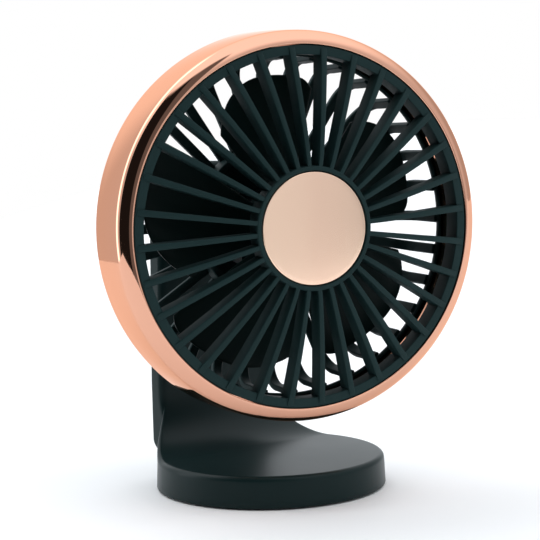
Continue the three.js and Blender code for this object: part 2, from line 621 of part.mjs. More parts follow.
addCopies(head, 'motor_screw', screw('y', depth(39.8), depth(38.9), depth(34.2), 1.9, 1),
  MOTOR_SCREW_ANGLES.map((a) => placeAt(MOTOR_SCREW_REACH, a)), steel);

// ---- rotor ------------------------------------------------------------------------------------------

const HUB_OUTER = 15;
const LEAD_SPAN = 0.55;        // parts of the blade's width that its rounded tip corners take
const TRAIL_SPAN = 0.12;
const LEAD_DROP = 11.7;        // how far the tip falls back at those corners
const TRAIL_DROP = 3;

// The tip line of a blade, where v runs from the leading edge at 0 to the trailing edge at 1.
function bladeTip(v) {
  const lead = Math.max(0, 1 - v / LEAD_SPAN);
  const trail = Math.max(0, (v - 1 + TRAIL_SPAN) / TRAIL_SPAN);
  return BLADE_TIP_RADIUS - LEAD_DROP * lead * lead - TRAIL_DROP * trail * trail;
}

function blade(angle) {
  const root = HUB_OUTER - 0.8;
  return plate(5, 6, 1.4, (u, v) => {
    const radius = root + (bladeTip(v) - root) * u;
    const outward = (radius - root) / (BLADE_TIP_RADIUS - root);
    const pitch = radians(THREE.MathUtils.lerp(ROOT_PITCH, TIP_PITCH, outward));
    const chord = radius * radians(BLADE_SWEEP);
    const middle = BLADE_MIDDLE + TIP_RAKE * outward;
    return clock(radius, angle - BLADE_SWEEP * (1 - v), middle + (0.5 - v) * chord * Math.tan(pitch));
  });
}

function impeller() {
  const bore = SHAFT_RADIUS + 0.1;
  const hub = turnY(profileAt([[bore, 9], [13, 9], [HUB_OUTER, 10.6], [HUB_OUTER, 23], [13.4, 23],
    [13.4, 11.6], [3.4, 11.6], [3.4, 20], [bore, 20]]), MEDIUM_ROUND);
  const blades = [];
  for (let i = 0; i < BLADE_COUNT; i++) blades.push(blade(FIRST_BLADE + i * 360 / BLADE_COUNT));
  return cut(join([hub, ...blades]), [
    turnY(profileAt([[3.4, 11.6], [13.4, 11.6], [13.4, 24], [3.4, 24]]), MEDIUM_ROUND),
  ]);
}

const rotor = new THREE.Group();
addNode(rotor, 'impeller', impeller(), darkGreen);
addNode(rotor, 'motor_shaft', bar('y', SHAFT_RADIUS, depth(7.2), depth(36.8), SMALL_ROUND), steel);
addNode(rotor, 'rotor_magnet', washer('y', SHAFT_RADIUS + 0.1, 5.9, depth(28), depth(33.4)), darkGreen);
addNode(rotor, 'impeller_nut', turnY(profileAt([[0, 5.2], [3, 5.2], [4.2, 6.4], [4.2, 8.7],
  [SHAFT_RADIUS + 0.1, 8.7], [SHAFT_RADIUS + 0.1, 6.9], [0, 6.9]]), SMALL_ROUND), steel);

// ---- assembly ---------------------------------------------------------------------------------------

head.add(rotor);
const turned = new THREE.Group();
turned.add(head);
turned.add(knuckle);
turned.position.set(0, PIVOT_Y, HEAD_HEIGHT);
turned.rotation.z = radians(HEAD_TURN);

const fan = new THREE.Group();
fan.add(stand);
fan.add(button);
fan.add(turned);

export default fan;
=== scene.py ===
"""Looks of a small desk fan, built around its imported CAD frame.

Sizes are in millimetres until a mesh is made.
"""

import json
import math

import bmesh
import bpy
from mathutils import Matrix, Vector


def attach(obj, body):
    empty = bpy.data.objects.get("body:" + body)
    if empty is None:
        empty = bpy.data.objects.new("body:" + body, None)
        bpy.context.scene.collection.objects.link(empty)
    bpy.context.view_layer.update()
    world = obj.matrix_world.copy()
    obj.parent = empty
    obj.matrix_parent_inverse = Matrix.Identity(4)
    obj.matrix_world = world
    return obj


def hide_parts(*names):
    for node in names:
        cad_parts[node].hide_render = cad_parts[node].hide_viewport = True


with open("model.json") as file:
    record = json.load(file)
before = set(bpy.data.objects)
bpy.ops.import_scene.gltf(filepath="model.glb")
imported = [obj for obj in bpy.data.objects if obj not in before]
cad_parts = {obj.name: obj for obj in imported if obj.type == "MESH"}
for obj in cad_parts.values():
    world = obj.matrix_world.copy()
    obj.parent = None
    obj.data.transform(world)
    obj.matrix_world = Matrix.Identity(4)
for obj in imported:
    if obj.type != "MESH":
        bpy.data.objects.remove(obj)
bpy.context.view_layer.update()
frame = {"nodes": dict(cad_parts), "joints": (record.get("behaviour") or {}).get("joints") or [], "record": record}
joints = {joint["name"]: joint for joint in frame["joints"]}

MM = 0.001                     # metres

# ---- driving sizes, in millimetres and degrees -------------------------------------------------------

GAP = 0.3                      # between neighbouring pieces
HEAD_REACH = 66.4
GRILLE_RADIUS = 66.0
GRILLE_HOLE = 62.5
HUB_RADIUS = 22.6
BADGE_RADIUS = 20.6
DOME = 7.0
BADGE_CROWN = 0.35
BADGE_BACK = -5.5
RIB_COUNT = 32
FIRST_SPOKE = 7.4
FIRST_RIB = 11.1
SPOKE_DEPTH = 7.0
SPOKE_WIDTH, SPOKE_ROOT_WIDTH = 2.4, 1.65
SPOKE_STEPS = 14
RIB_WIDTH, RIB_ROOT_WIDTH, RIB_THICK = 3.9, 3.3, 2.3
BEZEL_BACK = 24.0
CHANNEL_RADIUS = 70.4          # the open channel behind the bezel, inside its outer wall
LIP_RADIUS, LIP_HOLE = 65.8, 64.0
CHANNEL_FLOOR = 10.5
LIP_BACK = 15.8
LIP_FRONT = 8.8
GRILLE_BACK = 8.5
FLANGE_RADIUS, SPIGOT_RADIUS = 69.2, 63.7
FLANGE_FRONT, FLANGE_BACK = 16.3, 18.0
BLADE_COUNT = 5
BLADE_SWEEP = 57.0
BLADE_TIP = 56.0
BLADE_MIDDLE = 17.8
FIRST_BLADE = 17.3
ROOT_PITCH, TIP_PITCH = -24.0, -17.0
TIP_RAKE = 1.9
BLADE_CAMBER = 0.9
LEAD_SPAN, LEAD_DROP = 0.55, 11.7
TRAIL_SPAN, TRAIL_DROP = 0.12, 3.0
IMPELLER_HUB = 15.0
POD_RADIUS, POD_HOLE = 30.0, 27.6
POD_FRONT = 31.0
POD_FLOOR = 37.6
POD_BACK = 40.0

BASE_BOTTOM = 0.6
BASE_TOP = 12.6
BASE_RADIUS = 45.3
SHOULDER_RADIUS = 44.9
RECESS_RADIUS = 42.3
RECESS_TOP = 3.8
EDGE = 2.2
NECK_FRONT = 36.4
NECK_BACK = 44.1
NECK_HALF = 27.0
NECK_TOP_HALF = 25.2
NARROWING_START = 40.0
NECK_SHOULDER = 112.0
NECK_TOP = 128.0
FILLET = 23.0
FILLET_START = NECK_FRONT - FILLET
BLEND_LOW, BLEND_HIGH = 4.0, 16.0      # heights between which the neck's back goes from round to flat
BACK_CORNER = 1.6
COVER_LOW, COVER_HIGH, COVER_HALF, COVER_FRONT = 38.4, 111.6, 22.2, 41.9
MOUTH_HALF, MOUTH_LOW, MOUTH_HIGH = 4.8, 3.9, 7.7
BUTTON_HEIGHT = 55.0
LIGHT_HEIGHT = 66.0
COVER_SCREW_HEIGHTS = (44.0, 106.0)
SCREW_HOLE, SCREW_SEAT = 1.3, 2.3
PLATE_HALF, PLATE_RISE = 11.2, 19.0
BRACKET_SCREW_X = 8.6
BRACKET_SCREW_HEIGHTS = (3.0, -16.0)    # from the pivot
LUG_HALF = 6.3
LUG_INNER, LUG_OUTER = 10.5, 14.5
CHEEK_INNER, CHEEK_OUTER, CHEEK_HALF = 7.1, 11.1, 5.5
PIN_RADIUS, PIN_END = 2.0, 3.2
FORK_RADIUS, FORK_SCREW_RADIUS = 21.0, 18.0
BLOCK_HALF, BLOCK_HEIGHT = 5.6, 9.0

PIVOT = Vector(joints["head_swivel"]["pos_m"])
TILT_AXIS = Vector(joints["head_tilt"]["axis"]).normalized()
SPIN_AXIS = Vector(joints["fan_spin"]["axis"]).normalized()
UP = Vector((0, 0, 1))

STAND_SPACE = Matrix.Scale(MM, 4)
HEAD_SPACE = (
    Matrix.Translation(PIVOT)
    @ Matrix((TILT_AXIS, SPIN_AXIS, UP)).transposed().to_4x4()
    @ Matrix.Scale(MM, 4)
)
FAN_SPACE = HEAD_SPACE @ Matrix.Translation((0, -HEAD_REACH, 0))


# ---- materials ---------------------------------------------------------------------------------------

SHADE_SCALE, RIPPLE_SCALE, STREAK_SCALE = 28, 16, 40      # slow changes, in waves per metre
GRAIN_SCALE, BRUSH_SCALE = 2600, 900                      # fine grain
GRAIN_HEIGHT, BRUSH_HEIGHT = 0.00004, 0.00001             # metres
PLATING_EDGE_TINT = (1.0, 0.72, 0.58, 1)
EVEN, UPRIGHT = (1, 1, 1), (1, 1, 0.03)                   # stretches of a metal's grain


def shader(name, color, roughness, metallic=0.0):
    """A node material and its principled shader."""
    material = bpy.data.materials.new(name)
    material.use_nodes = True
    bsdf = material.node_tree.nodes["Principled BSDF"]
    bsdf.inputs["Base Color"].default_value = (*color, 1)
    bsdf.inputs["Roughness"].default_value = roughness
    bsdf.inputs["Metallic"].default_value = metallic
    return material, bsdf


def noise_node(material, scale, detail=3.0, stretch=(1, 1, 1)):
    """A noise texture in object space, stretched along the axes."""
    nodes, links = material.node_tree.nodes, material.node_tree.links
    place = nodes.new("ShaderNodeTexCoord")
    mapping = nodes.new("ShaderNodeMapping")
    mapping.inputs["Scale"].default_value = stretch
    texture = nodes.new("ShaderNodeTexNoise")
    texture.inputs["Scale"].default_value = scale
    texture.inputs["Detail"].default_value = detail
    links.new(place.outputs["Object"], mapping.inputs["Vector"])
    links.new(mapping.outputs["Vector"], texture.inputs["Vector"])
    return texture


def vary_color(material, bsdf, texture, low, high):
    """Moves the base colour between two shades with a texture."""
    nodes, links = material.node_tree.nodes, material.node_tree.links
    mix = nodes.new("ShaderNodeMix")
    mix.data_type = "RGBA"
    mix.inputs["A"].default_value = (*low, 1)
    mix.inputs["B"].default_value = (*high, 1)
    links.new(texture.outputs["Fac"], mix.inputs["Factor"])
    links.new(mix.outputs["Result"], bsdf.inputs["Base Color"])


def vary_roughness(material, bsdf, texture, low, high):
    """Moves the roughness between two values with a texture."""
    nodes, links = material.node_tree.nodes, material.node_tree.links
    span = nodes.new("ShaderNodeMapRange")
    span.inputs["To Min"].default_value = low
    span.inputs["To Max"].default_value = high
    links.new(texture.outputs["Fac"], span.inputs["Value"])
    links.new(span.outputs["Result"], bsdf.inputs["Roughness"])


def add_bump(material, bsdf, texture, strength, distance):
    """Raises a texture as fine relief, `distance` metres high."""
    nodes, links = material.node_tree.nodes, material.node_tree.links
    bump = nodes.new("ShaderNodeBump")
    bump.inputs["Strength"].default_value = strength
    bump.inputs["Distance"].default_value = distance
    links.new(texture.outputs["Fac"], bump.inputs["Height"])
    links.new(bump.outputs["Normal"], bsdf.inputs["Normal"])


def moulded(name, color, roughness, grain=0.12, index=1.45):
    """Moulded plastic: a fine even grain, and a slow change of gloss and shade over the surface."""
    material, bsdf = shader(name, color, roughness)
    bsdf.inputs["IOR"].default_value = index
    slow = noise_node(material, SHADE_SCALE)
    fine = noise_node(material, GRAIN_SCALE, 2.0)
    vary_color(material, bsdf, slow, [c * 0.88 for c in color], [c * 1.14 for c in color])
    vary_roughness(material, bsdf, slow, roughness * 0.88, roughness * 1.12)
    add_bump(material, bsdf, fine, grain, GRAIN_HEIGHT)
    return material


def plated(name, color, roughness):
    """Bright plating: almost a mirror, with a faint slow ripple in its gloss."""
    material, bsdf = shader(name, color, roughness, metallic=1.0)
    bsdf.inputs["Specular Tint"].default_value = PLATING_EDGE_TINT
    slow = noise_node(material, RIPPLE_SCALE, 1.0)
    vary_color(material, bsdf, slow, [c * 0.97 for c in color], [min(1, c * 1.02) for c in color])
    vary_roughness(material, bsdf, slow, roughness * 0.8, roughness * 1.25)
    return material


def brushed(name, color, roughness, stretch, strength=0.25, streaks=0.06):
    """Metal with a fine grain that is stretched along one direction."""
    material, bsdf = shader(name, color, roughness, metallic=1.0)
    grain = noise_node(material, BRUSH_SCALE, 4.0, stretch)
    slow = noise_node(material, STREAK_SCALE, 1.0, stretch)
    darker = [c * (1 - streaks) for c in color]
    lighter = [min(1, c * (1 + streaks)) for c in color]
    vary_color(material, bsdf, slow, darker, lighter)
    vary_roughness(material, bsdf, grain, roughness * 0.8, roughness * 1.2)
    add_bump(material, bsdf, grain, strength, BRUSH_HEIGHT)
    return material


GREEN = moulded("green_satin", (0.0058, 0.0168, 0.0172), 0.34, index=1.23)
GRILLE_GREEN = moulded("grille_satin", (0.0105, 0.0285, 0.0290), 0.55, index=1.22)
DARK_GREEN = moulded("impeller_gloss", (0.0050, 0.0140, 0.0132), 0.30, grain=0.03, index=1.20)
ROSE = plated("rose_plate", (0.745, 0.390, 0.270), 0.05)
ROSE_SATIN = brushed("rose_satin", (0.98, 0.655, 0.495), 0.17, UPRIGHT, 0.10, streaks=0.12)
RUBBER = moulded("rubber_black", (0.012, 0.012, 0.013), 0.8, grain=0.5)
STEEL = brushed("zinc_steel", (0.62, 0.63, 0.64), 0.3, EVEN)
BRASS = brushed("bush_bronze", (0.60, 0.42, 0.16), 0.35, EVEN)
COPPER = brushed("winding_copper", (0.50, 0.20, 0.08), 0.4, EVEN)
FERRITE = moulded("ferrite_dark", (0.03, 0.03, 0.032), 0.5)
WRAP = moulded("cell_foil", (0.35, 0.38, 0.42), 0.45)
BOARD = moulded("solder_mask", (0.01, 0.09, 0.03), 0.4)
LENS = moulded("milky_lens", (0.85, 0.86, 0.80), 0.25)

SLOT_MATERIALS = {
    "green_plastic": GREEN,
    "dark_green_plastic": DARK_GREEN,
    "rose_gold_plate": ROSE,
    "rose_gold_satin": ROSE_SATIN,
    "rubber": RUBBER,
    "steel": STEEL,
    "brass": BRASS,
    "copper_winding": COPPER,
    "ferrite": FERRITE,
    "battery_wrap": WRAP,
    "circuit_board": BOARD,
    "light_lens": LENS,
}


# ---- mesh helpers ------------------------------------------------------------------------------------

SMOOTH_ANGLE = math.radians(32)
COVER_SMOOTH_ANGLE = math.radians(12)   # keeps the cover flat beside its shallow dish
LEAST_RADIUS = 0.05
MERGE_DISTANCE, NO_LENGTH = 1e-6, 1e-7  # metres


def finish_mesh(mesh, angle=SMOOTH_ANGLE):
    """Merges doubles, points the faces outwards and shades the mesh smooth up to an angle."""
    work = bmesh.new()
    work.from_mesh(mesh)
    bmesh.ops.remove_doubles(work, verts=work.verts, dist=MERGE_DISTANCE)
    bmesh.ops.dissolve_degenerate(work, edges=work.edges, dist=NO_LENGTH)
    bmesh.ops.recalc_face_normals(work, faces=work.faces)
    work.to_mesh(mesh)
    work.free()
    mesh.shade_smooth()
    mesh.set_sharp_from_angle(angle=angle)


def new_object(name, parts, space):
    """One object from several (vertices, faces) parts, moved from its own space into the frame."""
    vertices, faces = [], []
    for part_vertices, part_faces in parts:
        start = len(vertices)
        vertices.extend(part_vertices)
        faces.extend(tuple(start + i for i in face) for face in part_faces)
    mesh = bpy.data.meshes.new(name)
    mesh.from_pydata([tuple(v) for v in vertices], [], faces)
    mesh.transform(space)
    finish_mesh(mesh)
    obj = bpy.data.objects.new(name, mesh)
    bpy.context.scene.collection.objects.link(obj)
    return obj


def apply_modifiers(obj):
    """Bakes an object's modifiers into its mesh."""
    graph = bpy.context.evaluated_depsgraph_get()
    mesh = bpy.data.meshes.new_from_object(obj.evaluated_get(graph))
    obj.modifiers.clear()
    old = obj.data
    obj.data = mesh
    bpy.data.meshes.remove(old)


def boolean(obj, other, operation):
    """Joins or cuts obj with another closed object, which is then removed."""
    modifier = obj.modifiers.new(operation, "BOOLEAN")
    modifier.operation = operation
    modifier.solver = "MANIFOLD"
    modifier.object = other
    bpy.context.view_layer.update()
    apply_modifiers(obj)
    bpy.data.objects.remove(other)
    finish_mesh(obj.data)


def show(obj, body, slot, material, *nodes):
    """Gives a piece its material, its body and the CAD nodes that it stands for."""
    obj.data.materials.clear()
    obj.data.materials.append(material)
    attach(obj, body)
    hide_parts(*nodes)
    return obj


def rounded(corners, steps=6):
    """A path through (x, y, corner radius) points, with each corner turned as an arc."""
    path = []
    for i, (x, y, radius) in enumerate(corners):
        here = Vector((x, y))
        if radius <= 0 or i in (0, len(corners) - 1):
            path.append((x, y))
            continue
        back = (Vector(corners[i - 1][:2]) - here).normalized()
        ahead = (Vector(corners[i + 1][:2]) - here).normalized()
        half = back.angle(ahead) / 2
        reach = radius / math.tan(half)
        start, end = here + back * reach, here + ahead * reach
        centre = here + (back + ahead).normalized() * (radius / math.sin(half))
        a, b = start - centre, end - centre
        turn = a.angle_signed(b)
        for k in range(steps + 1):
            angle = -turn * k / steps
            c, s = math.cos(angle), math.sin(angle)
            path.append((centre.x + a.x * c - a.y * s, centre.y + a.x * s + a.y * c))
    return path


def closed_rounded(corners, steps=6):
    """A closed loop through (x, y, corner radius) points."""
    ring = [corners[-1], *corners, corners[0]]
    return rounded(ring, steps)[1:-1]


def turned(profile, segments=128, loop=True):
    """A profile of (radius, depth) points turned about the depth axis, as a closed surface."""
    vertices, faces = [], []
    count = len(profile)
    for k in range(segments):
        angle = 2 * math.pi * k / segments
        s, c = math.sin(angle), math.cos(angle)
        vertices.extend((r * s, d, r * c) for r, d in profile)
    for k in range(segments):
        a, b = k * count, (k + 1) % segments * count
        for i in range(count if loop else count - 1):
            j = (i + 1) % count
            faces.append((a + i, b + i, b + j, a + j))
    return vertices, faces


def lofted(sections):
    """A closed surface through sections with the same number of points, capped at both ends."""
    count = len(sections[0])
    vertices = [p for section in sections for p in section]
    faces = []
    for s in range(len(sections) - 1):
        for i in range(count):
            j = (i + 1) % count
            a, b = s * count, (s + 1) * count
            faces.append((a + i, a + j, b + j, b + i))
    faces.append(tuple(range(count)))
    faces.append(tuple(range(len(vertices) - 1, len(vertices) - 1 - count, -1)))
    return vertices, faces


def block(low, high):
    """A plain box between two corners."""
    xs, ys, zs = zip(low, high)
    corners = ((xs[0], ys[0]), (xs[1], ys[0]), (xs[1], ys[1]), (xs[0], ys[1]))
    return lofted([[(x, y, z) for x, y in corners] for z in zs])


def rod(axis, radius, start, end, centre=(0, 0, 0), segments=48, edge=0.0):
    """A round bar along an axis, its ends chamfered by `edge`."""
    profile = [(0, start), (radius - edge, start), (radius, start + edge), (radius, end - edge),
               (radius - edge, end), (0, end)]
    vertices, faces = turned(profile, segments, loop=False)
    order = {"x": (1, 0, 2), "y": (0, 1, 2), "z": (0, 2, 1)}[axis]
    moved = [tuple(p[i] + c for i, c in zip(order, centre)) for p in vertices]
    return moved, faces


def prism(axis, outline, low, high, edge):
    """A bar along an axis with rounded ends: outline(inset) is its section, drawn in by `inset`."""
    order = {"x": (2, 0, 1), "y": (0, 2, 1), "z": (0, 1, 2)}[axis]
    part = edge * 0.3
    levels = [(low, edge), (low + part, part), (low + edge, 0),
              (high - edge, 0), (high - part, part), (high, edge)]
    sections = []
    for level, inset in levels:
        points = [(u, v, level) for u, v in outline(inset)]
        sections.append([tuple(point[i] for i in order) for point in points])
    return lofted(sections)


def rectangle(u0, u1, v0, v1, *radii):
    """An outline for a prism, with the corner radii from (u0, v0) round by (u1, v0)."""
    def outline(inset):
        left, right, bottom, top = u0 + inset, u1 - inset, v0 + inset, v1 - inset
        corners = ((left, bottom), (right, bottom), (right, top), (left, top))
        points = [(u, v, max(LEAST_RADIUS, radius - inset)) for (u, v), radius in zip(corners, radii)]
        return closed_rounded(points, 7)
    return outline


def clock(radius, angle, depth):
    """A point at a clock angle from the top, clockwise from the front."""
    a = math.radians(angle)
    return Vector((radius * math.sin(a), depth, radius * math.cos(a)))


def clock_sweep(angle, path, section):
    """A bar along a (radius, depth) path in the plane of one clock angle.

    section(k) lists (across, outward) offsets at the path's point k. Outward is square to the path, and
    points to the front where the path runs away from the axis.
    """
    a = math.radians(angle)
    across = Vector((math.cos(a), 0, -math.sin(a)))
    rings = []
    for k, (radius, depth) in enumerate(path):
        before = Vector(path[max(k - 1, 0)])
        after = Vector(path[min(k + 1, len(path) - 1)])
        along = (after - before).normalized()
        normal = Vector((along.y, -along.x))
        ring = []
        for side, out in section(k):
            point = clock(radius + normal.x * out, angle, depth + normal.y * out)
            ring.append(point + across * side)
        rings.append(ring)
    return lofted(rings)


def moved_up(part, height):
    """A (vertices, faces) part lifted by a height."""
    vertices, faces = part
    return [(x, y, z + height) for x, y, z in vertices], faces


def smoothstep(x, low, high):
    """0 below `low`, 1 above `high`, and smooth between."""
    t = min(1, max(0, (x - low) / (high - low)))
    return t * t * (3 - 2 * t)


# ---- camera, light and floor -------------------------------------------------------------------------

CAMERA_AZIMUTH = -24.78        # of the camera's place about the grille, from the head's own axis
CAMERA_ELEVATION = 3.76
CAMERA_DISTANCE = 593.6
LOOK_AZIMUTH = -23.44          # of the camera's view axis
LOOK_ELEVATION = 5.21
CAMERA_ROLL = -1.47
CAMERA_LENS = 108.96
LIGHT_DISTANCE = 1.5           # metres
FLOOR_FAR = 40.0               # metres, how far the floor goes behind and to the right
FLOOR_NEAR = 0.45              # metres, to its edges in front and on the left
FLOOR_WHITE = (0.93, 0.93, 0.93)
SUN_PLACE, SUN_WIDTH, SUN_STRENGTH = (20, 62), 70, 0.25

# The room's brightness by direction: angles are azimuths and elevations from the head's own axis.
ROOM_COLOR = (0.96, 1.0, 1.04, 1)
ROOM_LEVEL = 0.84
RIGHT_LEVEL, RIGHT_WALL = 0.62, (105, 0)                # a little darker on the right
ABOVE_LEVEL = 1.55
DARK_LEVEL, DEEP_LEVEL = 0.17, 0.015                    # the dark part, in front, and its left side
DARK_LEFT, DARK_DEEP, DARK_RIGHT, DARK_TOP = -86.0, -26.0, 3.0, 58.0
STRIP_LEVEL, STRIP = 3.2, (-116.0, 0)                   # a tall bright strip on the left
STRIP_ACROSS = (-25.0, 13.0)                            # the direction across it, so that it leans back
PATCH_LEVEL, PATCH = 0.5, (40, -2)                      # a dull patch in front, to the right
BEHIND_LEVEL, BEHIND = 1.3, (165, 15)                   # a bright area behind


def direction(azimuth, elevation):
    """A unit vector from angles about the head's own axis, azimuth 0 in front of the grille."""
    a, e = math.radians(azimuth), math.radians(elevation)
    local = Vector((math.sin(a) * math.cos(e), -math.cos(a) * math.cos(e), math.sin(e)))
    return (HEAD_SPACE.to_3x3() @ local).normalized()


def make_camera():
    """The photograph's viewing angle, about the centre of the grille."""
    data = bpy.data.cameras.new("camera")
    data.lens = CAMERA_LENS
    camera = bpy.data.objects.new("camera", data)
    bpy.context.scene.collection.objects.link(camera)
    grille_centre = FAN_SPACE @ Vector((0, 0, 0))
    back = direction(LOOK_AZIMUTH, LOOK_ELEVATION)
    right = UP.cross(back).normalized()
    above = back.cross(right)
    facing = Matrix((right, above, back)).transposed().to_4x4()
    place = grille_centre + direction(CAMERA_AZIMUTH, CAMERA_ELEVATION) * CAMERA_DISTANCE * MM
    turn = Matrix.Rotation(math.radians(CAMERA_ROLL), 4, "Z")
    camera.matrix_world = Matrix.Translation(place) @ facing @ turn
    bpy.context.scene.camera = camera


def add_light(name, kind, towards, energy):
    """A light that shines on the head from a direction; it shows in no reflection."""
    data = bpy.data.lights.new(name, kind)
    data.energy = energy
    light = bpy.data.objects.new(name, data)
    bpy.context.scene.collection.objects.link(light)
    facing = towards.to_track_quat("Z", "Y").to_matrix().to_4x4()
    light.matrix_world = Matrix.Translation(PIVOT + towards * LIGHT_DISTANCE) @ facing
    light.visible_glossy = False
    return data


class Sky:
    """Builds the room's brightness as a function of direction, out of shader nodes."""

    def __init__(self, tree):
        self.nodes, self.links = tree.nodes, tree.links
        self.place = self.nodes.new("ShaderNodeTexCoord").outputs["Generated"]

    def along(self, towards):
        """The cosine of the angle between a direction and `towards`."""
        dot = self.nodes.new("ShaderNodeVectorMath")
        dot.operation = "DOT_PRODUCT"
        dot.inputs[1].default_value = towards
        self.links.new(self.place, dot.inputs[0])
        return dot.outputs["Value"]

    def rise(self, value, low, high):
        """0 below `low`, 1 above `high`, and smooth between."""
        span = self.nodes.new("ShaderNodeMapRange")
        span.interpolation_type = "SMOOTHSTEP"
        span.inputs["From Min"].default_value = low
        span.inputs["From Max"].default_value = high
        self.links.new(value, span.inputs["Value"])
        return span.outputs["Result"]

    def facing(self, place, low, high):
        """0 where the cosine of the angle to a place is below `low`, 1 where it is above `high`."""
        return self.rise(self.along(direction(*place)), low, high)

    def combine(self, operation, first, second):
        """A sum, difference or product of two numbers or outputs."""
        math_node = self.nodes.new("ShaderNodeMath")
        math_node.operation = operation
        for socket, value in zip(math_node.inputs, (first, second)):
            if isinstance(value, (int, float)):
                socket.default_value = value
            else:
                self.links.new(value, socket)
        return math_node.outputs["Value"]

    def blend(self, base, level, mask):
        """Moves from `base` to a brightness where the mask is 1."""
        lift = self.combine("SUBTRACT", level, base)
        return self.combine("ADD", base, self.combine("MULTIPLY", lift, mask))


def make_world():
    """A pale studio, darker in front. The camera itself sees plain white where nothing else is."""
    world = bpy.data.worlds.new("room")
    bpy.context.scene.world = world
    world.use_nodes = True
    nodes, links = world.node_tree.nodes, world.node_tree.links
    room = nodes["Background"]
    room.inputs["Color"].default_value = ROOM_COLOR
    sky = Sky(world.node_tree)
    above = sky.along(UP)
    level = sky.blend(ROOM_LEVEL, RIGHT_LEVEL, sky.facing(RIGHT_WALL, 0.80, 0.95))
    level = sky.blend(level, ABOVE_LEVEL, sky.rise(above, 0.40, 0.80))

    in_front = sky.combine("MULTIPLY", sky.facing((DARK_RIGHT - 90, 0), -0.02, 0.03),
                           sky.facing((DARK_LEFT + 90, 0), -0.03, 0.02))
    top, fade = math.radians(DARK_TOP), math.radians(4)
    low = sky.rise(above, math.sin(top + fade), math.sin(top - fade))
    dark = sky.combine("MULTIPLY", in_front, low)
    level = sky.blend(level, DARK_LEVEL, dark)
    deep = sky.facing((DARK_DEEP - 90, 0), -0.03, 0.03)
    level = sky.blend(level, DEEP_LEVEL, sky.combine("MULTIPLY", dark, deep))

    across = direction(*STRIP_ACROSS)
    strip = sky.combine("MULTIPLY", sky.rise(sky.along(across), 0.24, 0.12),
                        sky.rise(sky.along(-across), 0.24, 0.12))
    on_left = sky.combine("MULTIPLY", sky.facing(STRIP, 0.20, 0.35), sky.rise(above, -0.30, -0.20))
    level = sky.blend(level, STRIP_LEVEL, sky.combine("MULTIPLY", strip, on_left))
    for brightness, place, full, none in ((PATCH_LEVEL, PATCH, 4, 14), (BEHIND_LEVEL, BEHIND, 22, 38)):
        spot = sky.facing(place, math.cos(math.radians(none)), math.cos(math.radians(full)))
        level = sky.blend(level, brightness, spot)
    links.new(level, room.inputs["Strength"])
    backdrop = nodes.new("ShaderNodeBackground")
    backdrop.inputs["Color"].default_value = (1, 1, 1, 1)
    path = nodes.new("ShaderNodeLightPath")
    mix = nodes.new("ShaderNodeMixShader")
    links.new(path.outputs["Is Camera Ray"], mix.inputs["Fac"])
    links.new(room.outputs["Background"], mix.inputs[1])
    links.new(backdrop.outputs["Background"], mix.inputs[2])
    links.new(mix.outputs["Shader"], nodes["World Output"].inputs["Surface"])


def make_floor():
    """A pale table: its near and left edges lie close by, and it reaches far behind and to the right."""
    ahead = direction(CAMERA_AZIMUTH, 0)
    aside = UP.cross(ahead)
    reaches = ((FLOOR_NEAR, -FLOOR_NEAR), (FLOOR_NEAR, FLOOR_FAR),
               (-FLOOR_FAR, FLOOR_FAR), (-FLOOR_FAR, -FLOOR_NEAR))
    corners = [PIVOT + ahead * a + aside * b for a, b in reaches]
    mesh = bpy.data.meshes.new("floor")
    mesh.from_pydata([(c.x, c.y, 0) for c in corners], [], [(0, 1, 2, 3)])
    floor = bpy.data.objects.new("floor", mesh)
    bpy.context.scene.collection.objects.link(floor)
    material, bsdf = shader("floor_white", FLOOR_WHITE, 0.6)
    bsdf.inputs["Specular IOR Level"].default_value = 0.1
    grain = noise_node(material, 6)
    vary_roughness(material, bsdf, grain, 0.55, 0.65)
    mesh.materials.append(material)


bpy.context.scene.view_settings.view_transform = "Standard"
make_camera()
make_world()
make_floor()
overhead = add_light("overhead", "SUN", direction(*SUN_PLACE), SUN_STRENGTH)
overhead.angle = math.radians(SUN_WIDTH)


# ---- stand -------------------------------------------------------------------------------------------

# Points along each run of the stand's outline.
FRONT_POINTS = 40
SIDE_POINTS = 22
CORNER_POINTS = 7
BACK_POINTS = 10


def edge_inset(depth_inside, width=EDGE):
    """How far a wall stands back near an edge that is rounded with the radius `width`."""
    t = 1 - min(1, max(0, depth_inside / width))
    return width * (1 - math.sqrt(1 - t * t))


def neck_half(z):
    """Half the neck's width, which narrows from NARROWING_START up to its shoulder."""
    rise = min(1, max(0, (z - NARROWING_START) / (NECK_SHOULDER - NARROWING_START)))
    return NECK_HALF + (NECK_TOP_HALF - NECK_HALF) * rise


def depth_under_top(y, z):
    """How deep a point of the side wall lies under the flat top, the fillet or the neck's front."""
    if z >= BASE_TOP + FILLET:
        return y - NECK_FRONT
    if y <= FILLET_START:
        return BASE_TOP - z
    return math.hypot(y - FILLET_START, z - BASE_TOP - FILLET) - FILLET


def wall_radius(z):
    """The base's side wall leans in a little from its foot to its top edge."""
    t = min(1, (z - BASE_BOTTOM) / (BASE_TOP - EDGE - BASE_BOTTOM))
    return BASE_RADIUS + (SHOULDER_RADIUS - BASE_RADIUS) * t


